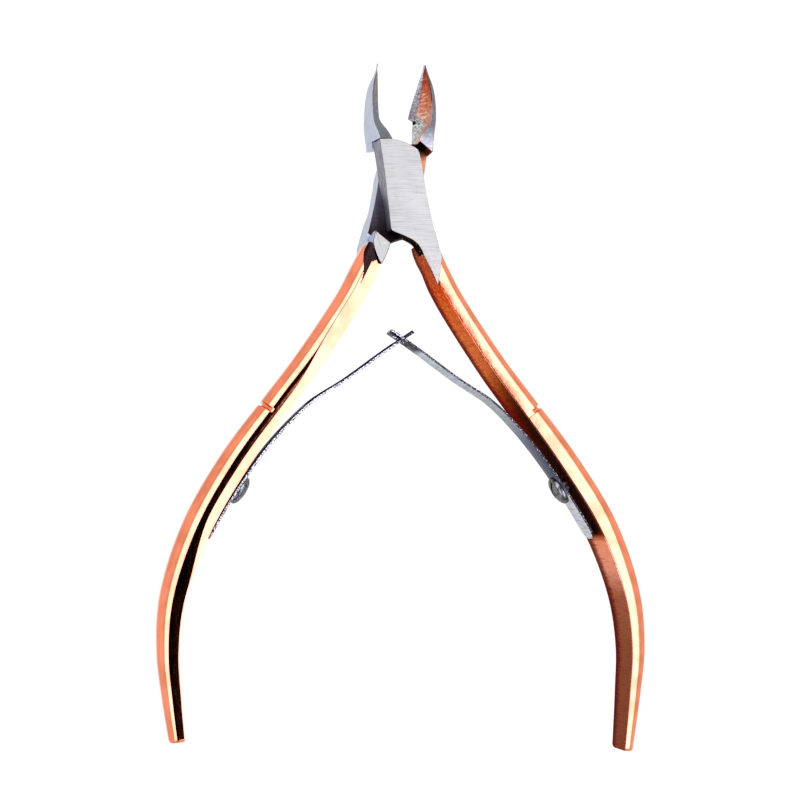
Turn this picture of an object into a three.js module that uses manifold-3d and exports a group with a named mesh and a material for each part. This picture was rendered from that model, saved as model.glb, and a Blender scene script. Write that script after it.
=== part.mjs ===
// Cuticle nipper, lying flat and resting open. Millimetres, +Z up.
// The pivot axis is Z, the jaws point to +Y and the handles to -Y.
// Z = 0 is the ground rear face of the joint and Z = BODY_DEPTH the ground front face.

import * as THREE from 'three';
import { mergeVertices } from 'three/addons/utils/BufferGeometryUtils.js';
import Module from 'manifold-3d';

const wasm = await Module();
wasm.setup();

// ---------------------------------------------------------------- driving dimensions

const BODY_DEPTH = 8.4;            // thickness of the forged joint, rear face to front face
const MID = BODY_DEPTH / 2;        // plane where the two laps face each other
const LAP_GAP = 0.3;               // between the two laps
const OPEN_ANGLE = 20.2;           // degrees between the cutting edges at rest
const EDGE_CLEARANCE = 0.08;       // each cutting edge stops this far from the meeting plane

const RIVET_RADIUS = 1.8;
const RIVET_CLEARANCE = 0.1;

const LEAF_THICKNESS = 0.5;
const LEAF_HINGE = [17.5, -35.6];  // where a leaf spring leaves its handle and starts to flex
const LEAF_SPLIT = 0.3;            // gap between the fixed foot and the flexing arm
const SCREW_Y = -45.4;             // height of the screw along the handle
const SCREW_RADIUS = 1.1;
const SCREW_CLEARANCE = 0.3;
const SHANK_REACH = 2.9;           // from the leaf's middle into the handle
const HEAD_RADIUS = 2.3;
const HEAD_HEIGHT = 1.3;
const HEAD_RIM = 0.35;             // straight part of the head, below its dome
const SEAT_GAP = 0.3;              // between the leaf and the head
const SLOT_WIDTH = 0.6;
const SLOT_DEPTH = 0.6;
const SLOT_ANGLE = Math.PI / 5;

const GROOVE_Y = -33.6;            // grip groove across the outer side of each handle
const GROOVE_WIDTH = 1.0;
const GROOVE_DEPTH = 0.5;
const GROOVE_CUT = 4;              // length of the cutter, well past the side of the handle

const FRONT_END_Y = -85.2;         // end of each half's handle
const REAR_END_Y = -83.0;
const END_REACH = 0.45;            // the eased end adds this much
const END_SCALE = 0.8;

// Section of a handle as fractions of its thickness and depth.
const FLAT_HALF = 0.42;            // half the flat inner side
const BULGE_START = -0.3;          // where the rounded outer side starts
const FULLNESS = 0.8;              // 1 is an ellipse, less is squarer

// One handle, from the neck to its end: centre x, centre y, thickness in plan, depth along Z.
const HANDLE = [
  [3.95, -8.4, 2.7, 8.0],
  [5.75, -12.1, 3.0, 7.8],
  [7.95, -16.3, 3.1, 7.5],
  [14.6, -26.4, 3.3, 7.6],
  [18.8, -32.0, 3.45, 7.8],
  [25.6, -41.2, 3.8, 8.1],
  [31.5, -51.4, 3.78, 8.4],
  [35.1, -61.9, 3.4, 8.1],
  [35.9, -70.0, 2.95, 7.5],
  [35.4, -77.0, 2.55, 6.8],
  [34.45, -85.2, 1.95, 5.8],
];

// Plan outline of one lap, from its jaw corner clockwise, down to the tip of the ground neck.
const LAP = [
  [-3.95, 7.8], [-1.8, 7.9], [0.35, 7.2], [2.1, 6.3], [2.75, 3.2], [3.0, 1.0], [3.7, -2.7],
  [4.5, -6.1], [5.7, -10.2], [5.05, -14.6], [4.0, -12.1], [3.1, -10.5], [2.5, -9.0],
  [1.7, -7.9], [0.3, -7.15], [-2.15, -6.2], [-2.75, -1.1], [-3.2, 3.2],
];

// The neck under the lap's shoulder has the full depth of the forging.
const NECK = [
  [2.3, -8.06], [4.6, -6.2], [5.7, -10.2], [5.05, -14.6], [4.0, -12.1], [3.1, -10.5], [2.5, -9.0],
];

// Root of the jaw on the +X side, with its shoulder as the lower edge.
const JAW_ROOT = [
  [4.25, 5.9], [4.4, 7.9], [4.5, 8.6], [2.8, 8.6], [2.3, 8.1], [2.3, 7.5],
];

// The +X jaw from its root to its tip: y, z of the cutting edge, z of the outer rear corner,
// z of the front face, x of the outer side and x of the front lip of the hollow.
const JAW = [
  [7.9, 0.0, 0.0, 8.4, 4.4, 2.4],
  [9.0, 0.05, 0.1, 8.35, 4.57, 3.05],
  [10.2, 0.3, 0.5, 8.05, 4.77, 3.9],
  [10.8, 0.6, 0.85, 7.9, 4.86, 4.12],
  [12.0, 0.93, 1.6, 7.62, 4.94, 4.29],
  [12.2, 0.98, 1.75, 7.57, 4.945, 4.31],
  [12.5, 1.05, 1.9, 7.5, 4.95, 4.35],
  [14.5, 1.8, 3.0, 6.85, 4.93, 4.42],
  [16.5, 2.75, 4.0, 6.2, 4.68, 4.25],
  [18.3, 3.75, 4.6, 5.45, 4.2, 3.95],
  [20.0, 4.8, 4.95, 5.05, 3.72, 3.66],
];
const HEEL_Y = 12.1;               // the cutting edge starts here, below it is the jaw's throat
const THROAT_X = 2.5;
const REAR_INSET = 0.25;           // the outer rear corner lies this much inside the outer side

// The hollow behind a cutting edge, as fractions across and up from the edge to the lip.
const HOLLOW = [[0, 0], [0.42, 0.18], [0.72, 0.42], [0.9, 0.7], [1, 1]];

// The +X leaf spring in plan, from its tip past the crossing at x = 0 down to its foot.
const LEAF = [
  [-1.9, -21.25], [2.3, -24.1], [8.65, -28.7], [13.8, -32.05], LEAF_HINGE,
  [21.3, -40.1], [25.8, -46.7], [29.5, -53.0],
];
const LEAF_WIDTH_TIP = 3.4;
const LEAF_WIDTH_FOOT = 5.0;
const TONGUE_WIDTH = 1.3;
const TONGUE_LENGTH = 4.2;
const TONGUE_OVERLAP = 0.3;        // the tongue runs this far into the full width
const FOOT_CORNER = 1.4;
const WINDOW_WIDTH = 1.9;
const WINDOW_LENGTH = 2.6;

// ---------------------------------------------------------------- solids

function toSolid(geometry) {
  const bare = geometry.index ? geometry.toNonIndexed() : geometry.clone();
  bare.deleteAttribute('normal');
  bare.deleteAttribute('uv');
  const merged = mergeVertices(bare, 1e-5);
  const mesh = new wasm.Mesh({
    numProp: 3,
    vertProperties: new Float32Array(merged.attributes.position.array),
    triVerts: new Uint32Array(merged.index.array),
  });
  return new wasm.Manifold(mesh);
}

function toGeometry(solid) {
  const mesh = solid.getMesh();
  const geometry = new THREE.BufferGeometry();
  geometry.setAttribute('position', new THREE.BufferAttribute(mesh.vertProperties, 3));
  geometry.setIndex(new THREE.BufferAttribute(mesh.triVerts, 1));
  geometry.computeVertexNormals();
  return geometry;
}

// Extrudes a plan outline from z0 to z1.
function slab(outline, z0, z1) {
  const shape = new THREE.Shape(outline.map(([x, y]) => new THREE.Vector2(x, y)));
  const geometry = new THREE.ExtrudeGeometry(shape, { depth: z1 - z0, bevelEnabled: false });
  return geometry.translate(0, 0, z0);
}

// Skins rings of equal length and closes both ends with a flat fan.
function loft(rings) {
  const count = rings[0].length;
  const positions = rings.flat().flatMap((p) => [p.x, p.y, p.z]);
  const index = [];
  for (let r = 0; r + 1 < rings.length; r += 1) {
    for (let k = 0; k < count; k += 1) {
      const a = r * count + k;
      const b = r * count + ((k + 1) % count);
      index.push(a, b, a + count, b, b + count, a + count);
    }
  }
  for (const [ring, flip] of [[0, true], [rings.length - 1, false]]) {
    const centre = positions.length / 3;
    const middle = rings[ring].reduce((sum, p) => sum.clone().add(p), new THREE.Vector3());
    middle.divideScalar(count);
    positions.push(middle.x, middle.y, middle.z);
    for (let k = 0; k < count; k += 1) {
      const a = ring * count + k;
      const b = ring * count + ((k + 1) % count);
      index.push(centre, ...(flip ? [b, a] : [a, b]));
    }
  }
  if (signedVolume(positions, index) < 0) {
    index.reverse();
  }
  const geometry = new THREE.BufferGeometry();
  geometry.setAttribute('position', new THREE.Float32BufferAttribute(positions, 3));
  geometry.setIndex(index);
  return geometry;
}

function signedVolume(positions, index) {
  const corner = (i) => new THREE.Vector3().fromArray(positions, index[i] * 3);
  let sum = 0;
  for (let i = 0; i < index.length; i += 3) {
    sum += corner(i).dot(corner(i + 1).cross(corner(i + 2)));
  }
  return sum / 6;
}

function union(...solids) {
  return solids.reduce((whole, solid) => whole.add(solid));
}

// Turns a solid half a turn about the middle line of the joint: +X goes to -X, front to rear.
function turnOver(geometry) {
  return geometry.rotateY(Math.PI).translate(0, 0, BODY_DEPTH);
}

// Mirrors ring points from the +X side to the given side.
function onSide(side, rings) {
  return rings.map((ring) => ring.map((p) => new THREE.Vector3(side * p.x, p.y, p.z)));
}

// ---------------------------------------------------------------- paths in plan

const flat = (points) => new THREE.CatmullRomCurve3(
  points.map(([x, y]) => new THREE.Vector3(x, y, 0)), false, 'centripetal');

const handleLine = flat(HANDLE);
const handleSize = new THREE.CatmullRomCurve3(
  HANDLE.map(([, , thickness, depth]) => new THREE.Vector3(thickness, depth, 0)));
const leafLine = flat(LEAF);

// Position and outward normal (away from the other handle) at parameter t of a plan path.
function stationAt(line, t) {
  const tangent = line.getTangent(t);
  return { point: line.getPoint(t), outward: new THREE.Vector3(-tangent.y, tangent.x, 0) };
}

// Parameter up to which a test on the path's point holds, by halving.
function parameterWhile(line, holds) {
  let low = 0;
  let high = 1;
  for (let i = 0; i < 40; i += 1) {
    const t = (low + high) / 2;
    if (holds(line.getPoint(t))) low = t;
    else high = t;
  }
  return low;
}

const parameterAtY = (line, y) => parameterWhile(line, (point) => point.y > y);

// ---------------------------------------------------------------- forged halves

// D section: flat inner face with eased corners, and a rounded outer side.
function handleSection(steps) {
  const section = [[-0.5, -FLAT_HALF], [-0.5, FLAT_HALF]];
  for (let i = 0; i <= steps; i += 1) {
    const angle = Math.PI * (0.5 - i / steps);
    const across = Math.max(0, Math.cos(angle)) ** FULLNESS;
    const along = Math.sign(Math.sin(angle)) * Math.abs(Math.sin(angle)) ** FULLNESS;
    section.push([BULGE_START + (0.5 - BULGE_START) * across, 0.5 * along]);
  }
  return section;
}

function handle(endY) {
  const endT = parameterAtY(handleLine, endY);
  const stations = 44;
  const section = handleSection(12);
  const rings = [];
  for (let i = 0; i <= stations; i += 1) {
    const t = endT * (i / stations);
    const { point, outward } = stationAt(handleLine, t);
    const size = handleSize.getPoint(t);
    rings.push(section.map(([across, along]) => point.clone()
      .addScaledVector(outward, across * size.x)
      .setZ(MID + along * size.y)));
  }
  rings.push(roundedEnd(rings[stations], endT));
  return loft(rings);
}

// A slightly smaller ring beyond the last one, so that the end has eased corners.
function roundedEnd(ring, endT) {
  const direction = handleLine.getTangent(endT);
  const centre = handleLine.getPoint(endT).setZ(MID);
  return ring.map((p) => p.clone().sub(centre).multiplyScalar(END_SCALE).add(centre)
    .addScaledVector(direction, END_REACH));
}

function gripGroove() {
  const t = parameterAtY(handleLine, GROOVE_Y);
  const { point, outward } = stationAt(handleLine, t);
  const half = handleSize.getPoint(t).x / 2;
  const box = new THREE.BoxGeometry(GROOVE_CUT, GROOVE_WIDTH, BODY_DEPTH);
  box.rotateZ(Math.atan2(outward.y, outward.x));
  const centre = point.clone().addScaledVector(outward, half - GROOVE_DEPTH + GROOVE_CUT / 2);
  return box.translate(centre.x, centre.y, MID);
}

// The jaw of the +X side as rings of eight points about the hollow.
function jawRings() {
  const slope = Math.tan(THREE.MathUtils.degToRad(OPEN_ANGLE / 2));
  return JAW.map(([y, cutZ, outerZ, frontZ, outerX, lipX]) => {
    const cutX = y > HEEL_Y ? slope * y + EDGE_CLEARANCE : Math.min(THROAT_X, lipX);
    return [
      ...HOLLOW.map(([across, up]) => new THREE.Vector3(
        cutX + across * (lipX - cutX), y, cutZ + up * (frontZ - cutZ))),
      new THREE.Vector3(outerX, y, frontZ),
      new THREE.Vector3(outerX, y, (outerZ + frontZ) / 2),
      new THREE.Vector3(outerX - REAR_INSET, y, outerZ),
    ];
  });
}

function rivetHole() {
  const hole = new THREE.CylinderGeometry(
    RIVET_RADIUS + RIVET_CLEARANCE, RIVET_RADIUS + RIVET_CLEARANCE, 3 * BODY_DEPTH, 48);
  return hole.rotateX(Math.PI / 2);
}

// A half whose handle is on the +X side and whose lap is the front one.
function handleAndLap(endY) {
  const lapFloor = MID + LAP_GAP / 2;
  const whole = union(
    toSolid(handle(endY)), toSolid(slab(NECK, 0, BODY_DEPTH)), toSolid(slab(LAP, lapFloor, BODY_DEPTH)));
  return whole.subtract(toSolid(gripGroove())).subtract(toSolid(screwHole()))
    .subtract(toSolid(rivetHole()));
}

function jaw(side) {
  const root = slab(JAW_ROOT, 0, BODY_DEPTH);
  const rootRings = onSide(side, jawRings());
  const rootSolid = toSolid(side > 0 ? root : turnOver(root));
  return union(rootSolid, toSolid(loft(rootRings)));
}

function frontHalf() {
  return toGeometry(handleAndLap(FRONT_END_Y).add(jaw(-1)));
}

function rearHalf() {
  const turned = toSolid(turnOver(toGeometry(handleAndLap(REAR_END_Y))));
  return toGeometry(turned.add(jaw(1)));
}

function rivet() {
  const pin = new THREE.CylinderGeometry(RIVET_RADIUS, RIVET_RADIUS, BODY_DEPTH, 48);
  return pin.rotateX(Math.PI / 2).translate(0, 0, MID);
}

// ---------------------------------------------------------------- leaf springs

// A strip of spring steel between two parameters of the leaf path. width(t) is its size along Z.
function strip(side, start, end, steps, width) {
  const rings = [];
  for (let i = 0; i <= steps; i += 1) {
    const t = start + (end - start) * (i / steps);
    const { point, outward } = stationAt(leafLine, t);
    const half = width(t) / 2;
    rings.push([[-1, -1], [1, -1], [1, 1], [-1, 1]].map(([across, along]) => point.clone()
      .addScaledVector(outward, across * LEAF_THICKNESS / 2)
      .setZ(MID + along * half)));
  }
  return loft(onSide(side, rings));
}

const leafLength = leafLine.getLength();
const hingeT = parameterAtY(leafLine, LEAF_HINGE[1]);
const crossingT = parameterWhile(leafLine, (point) => point.x < 0);
const splitT = LEAF_SPLIT / 2 / leafLength;

function leafWidth(t) {
  const blend = THREE.MathUtils.smoothstep(t, crossingT, 0.8);
  return THREE.MathUtils.lerp(LEAF_WIDTH_TIP, LEAF_WIDTH_FOOT, blend);
}

// Width of the foot, drawn in over the last stretch so that its end has round corners.
function footWidth(t) {
  const inside = Math.max(0, FOOT_CORNER - (1 - t) * leafLength);
  return leafWidth(t) - 2 * (FOOT_CORNER - Math.sqrt(FOOT_CORNER ** 2 - inside ** 2));
}

// The tongue is a narrow tip that passes through the window of the other leaf.

// Turns a geometry made along +Y so that +Y points out of the handle, at the screw.
function atScrew(geometry) {
  const { point, outward } = stationAt(leafLine, parameterAtY(leafLine, SCREW_Y));
  const angle = Math.atan2(-outward.y, -outward.x) - Math.PI / 2;
  return geometry.rotateZ(angle).translate(point.x, point.y, MID);
}

function screwHole() {
  const radius = SCREW_RADIUS + SCREW_CLEARANCE;
  const depth = SHANK_REACH + SCREW_CLEARANCE;
  const hole = new THREE.CylinderGeometry(radius, radius, depth, 24);
  return atScrew(hole.translate(0, -depth / 2, 0));
}

// Slotted dome-head screw: head proud of the leaf, shank through the leaf into the handle.
function screw() {
  const seat = LEAF_THICKNESS / 2 + SEAT_GAP;
  const steps = 5;
  const profile = [
    [0, -SHANK_REACH], [SCREW_RADIUS, -SHANK_REACH], [SCREW_RADIUS, seat], [HEAD_RADIUS, seat],
    [HEAD_RADIUS, seat + HEAD_RIM],
  ];
  for (let i = 1; i <= steps; i += 1) {
    const angle = (i / steps) * Math.PI / 2;
    const radius = i === steps ? 0 : HEAD_RADIUS * Math.cos(angle);
    profile.push([radius, seat + HEAD_RIM + (HEAD_HEIGHT - HEAD_RIM) * Math.sin(angle)]);
  }
  const body = new THREE.LatheGeometry(profile.map(([x, y]) => new THREE.Vector2(x, y)), 32);
  const slot = new THREE.BoxGeometry(3 * HEAD_RADIUS, 2 * SLOT_DEPTH, SLOT_WIDTH);
  slot.rotateY(SLOT_ANGLE).translate(0, seat + HEAD_HEIGHT, 0);
  const cut = toGeometry(toSolid(body).subtract(toSolid(slot)));
  return atScrew(cut);
}

function springFoot(side) {
  const foot = strip(1, hingeT + splitT, 1, 18, footWidth);
  const radius = SCREW_RADIUS + SCREW_CLEARANCE;
  const hole = atScrew(new THREE.CylinderGeometry(radius, radius, 6 * LEAF_THICKNESS, 24));
  const geometry = toGeometry(toSolid(foot).subtract(toSolid(hole)));
  return side > 0 ? geometry : turnOver(geometry);
}

// The +X arm has the window, the -X arm has the tongue.
function windowArm() {
  const arm = strip(1, 0, hingeT - splitT, 26, leafWidth);
  const { point, outward } = stationAt(leafLine, crossingT);
  const cutter = new THREE.BoxGeometry(WINDOW_LENGTH, 6 * LEAF_THICKNESS, WINDOW_WIDTH);
  cutter.rotateZ(Math.atan2(outward.y, outward.x) - Math.PI / 2);
  cutter.translate(point.x, point.y, MID);
  return toGeometry(toSolid(arm).subtract(toSolid(cutter)));
}

function tongueArm() {
  const neckT = TONGUE_LENGTH / leafLength;
  const tongue = strip(-1, 0, neckT + TONGUE_OVERLAP / leafLength, 6, () => TONGUE_WIDTH);
  const arm = strip(-1, neckT, hingeT - splitT, 24, leafWidth);
  return toGeometry(toSolid(tongue).add(toSolid(arm)));
}

// ---------------------------------------------------------------- the assembly

const ROSE_GOLD = { color: 0xe0906c, roughness: 0.3, metalness: 1 };
const GROUND_STEEL = { color: 0xc9cbc6, roughness: 0.35, metalness: 1 };
const SPRING_STEEL = { color: 0x9a9d9e, roughness: 0.35, metalness: 1 };
const DARK_NICKEL = { color: 0x6c6e70, roughness: 0.3, metalness: 1 };

const nipper = new THREE.Group();

function addPart(name, geometry, look) {
  const mesh = new THREE.Mesh(geometry, new THREE.MeshStandardMaterial(look));
  mesh.name = name;
  nipper.add(mesh);
}

addPart('front_half', frontHalf(), ROSE_GOLD);
addPart('rear_half', rearHalf(), ROSE_GOLD);
addPart('pivot_rivet', rivet(), GROUND_STEEL);
addPart('right_spring_foot', springFoot(1), SPRING_STEEL);
addPart('left_spring_foot', springFoot(-1), SPRING_STEEL);
addPart('right_spring_arm', windowArm(), SPRING_STEEL);
addPart('left_spring_arm', tongueArm(), SPRING_STEEL);
addPart('right_spring_screw', screw(), DARK_NICKEL);
addPart('left_spring_screw', turnOver(screw()), DARK_NICKEL);

export default nipper;
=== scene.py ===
"""Cuticle nipper, lying flat and resting open: fine meshes, materials and studio round the frame.

The pivot axis is Z, the jaws point to +Y and the handles to -Y. Shapes are worked out in millimetres
and scaled to metres when a mesh is made. +X shapes are drawn once and mirrored for the other side.
"""

import math

import bmesh
import bpy
import numpy as np
from mathutils import Matrix, Vector


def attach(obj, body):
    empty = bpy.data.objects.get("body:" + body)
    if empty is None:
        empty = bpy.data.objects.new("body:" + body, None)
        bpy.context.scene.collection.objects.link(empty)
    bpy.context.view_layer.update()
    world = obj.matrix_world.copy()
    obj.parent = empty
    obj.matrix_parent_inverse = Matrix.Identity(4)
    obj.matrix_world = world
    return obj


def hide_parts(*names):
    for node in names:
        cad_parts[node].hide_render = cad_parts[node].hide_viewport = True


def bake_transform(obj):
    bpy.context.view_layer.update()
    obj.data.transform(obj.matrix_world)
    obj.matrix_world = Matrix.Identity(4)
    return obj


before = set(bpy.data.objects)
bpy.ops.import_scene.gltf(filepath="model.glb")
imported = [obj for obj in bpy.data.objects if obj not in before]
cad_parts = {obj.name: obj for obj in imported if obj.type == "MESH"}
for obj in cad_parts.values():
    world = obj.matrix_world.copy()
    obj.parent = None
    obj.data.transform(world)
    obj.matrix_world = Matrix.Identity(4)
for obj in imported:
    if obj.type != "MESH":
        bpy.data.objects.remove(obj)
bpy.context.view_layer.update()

MM = 0.001
UNIT = 1000.0                      # millimetres in a metre

# ---------------------------------------------------------------- driving dimensions, as in the CAD

DEPTH = 8.4                        # rear ground face to front ground face
MID = DEPTH / 2
LAP_GAP = 0.3
OPEN_ANGLE = 20.2                  # degrees between the cutting edges
EDGE_CLEARANCE = 0.08
RIVET_RADIUS = 1.8
RIVET_SEAM = 0.006                 # gap round the flush rivet
RIVET_EASE = 0.01                  # chamfer of its ends
GROOVE_Y = -33.6                   # grip groove across the outer side of each handle
GROOVE_HALF_WIDTH = 0.38
GROOVE_DEPTH = 0.42
LEAF_THICKNESS = 0.5
HINGE_Y = -35.6                    # where a leaf starts to flex
SCREW_Y = -45.4
HEAD_RADIUS = 2.3                  # of a screw
HEAD_HEIGHT = 1.25
SLOT_WIDTH = 0.46
SLOT_DEPTH = 0.55
SLOT_TURN = 55                     # degrees the screws were left turned by

# One handle from neck to end: centre x, centre y, thickness in plan, depth along Z.
HANDLE = [
    (3.95, -8.4, 2.7, 8.0), (5.75, -12.1, 3.0, 7.8), (7.95, -16.3, 3.1, 7.5), (14.6, -26.4, 3.3, 7.6),
    (18.8, -32.0, 3.45, 7.8), (25.6, -41.2, 3.8, 8.1), (31.5, -51.4, 3.78, 8.4), (35.1, -61.9, 3.4, 8.1),
    (35.9, -70.0, 2.95, 7.5), (35.4, -77.0, 2.55, 6.8), (34.45, -85.2, 1.95, 5.8),
]
# The two halves are finished by hand and differ: outward shift of each row, and added thickness.
FRONT_SHIFT = [0, 0, 0, 0, 0, 0, 0.35, 0.45, 0.5, 0.5, 0.55]
REAR_SHIFT = [0.35, 0.38, 0.35, 0.35, 0.35, 0.3, 0.2, 0.1, -0.1, -0.25, -0.4]
REAR_THICKER = [0.6, 0.6, 0.5, 0.4, 0.3, 0.2, 0.1, 0, 0, 0, 0]
FRONT_END_Y = -85.1
REAR_END_Y = -82.8
DRAFT = math.radians(5)            # lean of the flat inner side of a handle
CHAMFER_ANGLE = math.radians(14.5) # slope of a handle's inner chamfer
REAR_WALL = 0.6                    # the rear lap's outer wall stands this much further out
REAR_LEAN = (0.2, 0.35)            # and leans out to the rear: everywhere, and added below the pivot
WALL_LEAN = 0.45                   # a lap's inner wall leans out by this much above the joint

# Plan outlines: x, y and how far from the corner its rounding starts.
FREE = 99.0                        # rounds all the way to the middle of both neighbouring sides
ROUNDING = 6                       # points on each rounded corner
LAP_EASE = 0.05                    # chamfer round a ground face
SHOULDER_EASE = 0.08               # chamfer round a neck and a jaw root
UNDERLAP = 0.05                    # the neck stops this far under the ground face of its own lap
LAP = [
    (-3.95, 7.8, 0.2), (-1.8, 7.9, FREE), (0.35, 7.2, FREE), (2.1, 6.3, 0.7), (2.75, 3.2, FREE),
    (3.0, 1.0, FREE), (3.7, -2.7, FREE), (4.5, -6.1, FREE), (5.7, -10.2, 0.8), (5.05, -14.6, 0.25),
    (4.0, -12.1, FREE), (3.1, -10.5, FREE), (2.5, -9.0, FREE), (1.7, -7.9, FREE), (0.3, -7.15, FREE),
    (-2.15, -6.2, 0.35), (-2.75, -1.1, FREE), (-3.2, 3.2, FREE),
]
LAP_WALLS = {(3, 8.7): "side", (8.7, 15.5): "floor"}       # by the corners of its outline; the 'floor' walls get painted shade
NECK_WALL = (1.3, 3)               # corners between which the neck is bare outside
# The neck below the lap's shoulder has the full depth. The rear half's is ground away sooner.
NECK_FRONT = [
    (2.3, -8.06, 0.1), (4.6, -6.2, 0.1), (5.7, -10.2, 0.8), (5.05, -14.6, 0.25), (4.0, -12.1, FREE),
    (3.1, -10.5, FREE), (2.5, -9.0, FREE),
]
NECK_REAR = [
    (2.3, -8.06, 0.1), (4.6, -6.2, 0.1), (5.0, -8.0, 0.3), (4.5, -9.9, FREE), (3.7, -11.4, 0.2),
    (3.05, -10.3, FREE), (2.55, -9.0, FREE),
]
# Root of a jaw beyond the other half's lap. The front half's shoulder is higher.
ROOT_REAR = [
    (4.25, 5.9, 0.1), (4.4, 7.9, FREE), (4.5, 8.6, 0.1), (2.8, 8.6, 0.2), (2.3, 8.1, 0.2), (2.3, 7.5, 0.1),
]
ROOT_FRONT = [
    (4.3, 6.9, 0.1), (4.4, 7.9, FREE), (4.5, 8.6, 0.1), (2.8, 8.6, 0.2), (2.3, 8.1, 0.2), (2.3, 7.3, 0.1),
]

# The +X jaw from root to tip: y, z of the cutting edge, z of the outer rear corner, z of the front
# face, x of the outer side, x of the front lip of the hollow.
JAW = [
    (7.9, 0.0, 0.0, 8.4, 4.4, 2.4), (9.0, 0.05, 0.1, 8.35, 4.57, 3.05), (10.2, 0.3, 0.5, 8.05, 4.77, 3.9),
    (10.8, 0.6, 0.85, 7.9, 4.86, 4.12), (12.5, 1.05, 1.9, 7.5, 4.95, 4.35),
    (14.5, 1.8, 3.0, 6.85, 4.93, 4.42), (16.5, 2.75, 4.0, 6.2, 4.68, 4.25),
    (18.3, 3.75, 4.6, 5.45, 4.2, 3.95), (20.0, 4.8, 4.95, 5.05, 3.72, 3.66),
]
HEEL_Y = 12.1                      # where the cutting edge starts
THROAT_X = 2.4                     # inner side of a jaw below the heel of its edge
JAW_FLARE = 0.55                   # the rear outer corner of a jaw stands this much further out
EDGE_SHIFT = 0.62                  # the edges lie this much to -X of the middle, less at the tip
HOLLOW = [(0, 0), (0.42, 0.18), (0.72, 0.42), (0.9, 0.7), (1, 1)]   # across and up, from edge to lip

# The +X leaf in plan, from its tip past the crossing to its foot.
LEAF = [
    (-1.9, -21.25), (2.3, -24.1), (8.65, -28.7), (13.8, -32.05), (17.5, HINGE_Y), (21.3, -40.1),
    (25.8, -46.7), (29.5, -53.0),
]
LEAF_FRONT_SHIFT = [0, 0, 0, 0, 0, 0, 0.15, 0.3]
LEAF_REAR_SHIFT = [0, 0, 0, 0.05, 0.15, 0.25, 0.25, 0.2]
LEAF_WIDTH_TIP = 4.4               # along Z
LEAF_WIDTH_FOOT = 5.0
TONGUE_WIDTH = 1.3
TONGUE_LENGTH = 4.2
WINDOW = (2.6, 1.9)                # length and width
ROLLED_OVER = 0.17                 # rounding of a leaf's edge on the side that faced the die
FLEX_FROM = (20.5, -39.2)          # two points of the +X leaf's path; the leaf is not bent between them
FLEX_TO = (14.0, -32.2)

# ---------------------------------------------------------------- curves in plan


def spline(points, t):
    """Centripetal Catmull-Rom through rows of numbers, spaced by their first two columns."""
    rows = np.array(points, float)
    place = min(max(t, 0.0), 1.0) * (len(rows) - 1)
    k = min(int(place), len(rows) - 2)
    w = place - k
    p1, p2 = rows[k], rows[k + 1]
    p0 = rows[k - 1] if k > 0 else 2 * p1 - p2
    p3 = rows[k + 2] if k + 2 < len(rows) else 2 * p2 - p1
    d0, d1, d2 = (math.sqrt(max(np.linalg.norm((b - a)[:2]), 1e-4))
                  for a, b in ((p0, p1), (p1, p2), (p2, p3)))
    m1 = ((p1 - p0) / d0 - (p2 - p0) / (d0 + d1) + (p2 - p1) / d1) * d1
    m2 = ((p2 - p1) / d1 - (p3 - p1) / (d1 + d2) + (p3 - p2) / d2) * d1
    return ((2 * w**3 - 3 * w**2 + 1) * p1 + (w**3 - 2 * w**2 + w) * m1
            + (3 * w**2 - 2 * w**3) * p2 + (w**3 - w**2) * m2)


def station(points, t):
    """Centre and outward normal, away from the other handle, of a falling +X path at t."""
    step = 0.002
    here = spline(points, t)
    along = (spline(points, t + step) - spline(points, t - step))[:2]
    along /= np.linalg.norm(along)
    return here, np.array([-along[1], along[0]])


def solve(points, column, value):
    """Parameter where the given column of a monotonic path reaches a value."""
    low, high = 0.0, 1.0
    rising = points[-1][column] > points[0][column]
    for _ in range(30):
        t = (low + high) / 2
        if (spline(points, t)[column] < value) == rising:
            low = t
        else:
            high = t
    return low


def smoothstep(low, high, x):
    t = min(max((x - low) / (high - low), 0.0), 1.0)
    return t * t * (3 - 2 * t)


smoothsteps = np.vectorize(smoothstep)

def rounded(outline):
    """A closed plan outline with each corner rounded by a short curve."""
    points = []
    count = len(outline)
    for i, (x, y, reach) in enumerate(outline):
        corner = np.array([x, y])
        ends = []
        for other in (outline[i - 1], outline[(i + 1) % count]):
            side = np.array(other[:2]) - corner
            ends.append(corner + side * min(reach / np.linalg.norm(side), 0.49))
        for k in range(ROUNDING):
            t = k / (ROUNDING - 1)
            points.append((1 - t)**2 * ends[0] + 2 * t * (1 - t) * corner + t**2 * ends[1])
    return np.array(points)


def inset(points, distance):
    """A closed outline moved inwards by a small distance."""
    before, after = np.roll(points, 1, 0), np.roll(points, -1, 0)
    along = after - before
    normal = np.stack([along[:, 1], -along[:, 0]], 1)
    normal /= np.linalg.norm(normal, axis=1)[:, None]
    x, y = points[:, 0], points[:, 1]
    area = (x * np.roll(y, -1) - y * np.roll(x, -1)).sum()
    return points - normal * distance * math.copysign(1, area)


# ---------------------------------------------------------------- node materials


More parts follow.
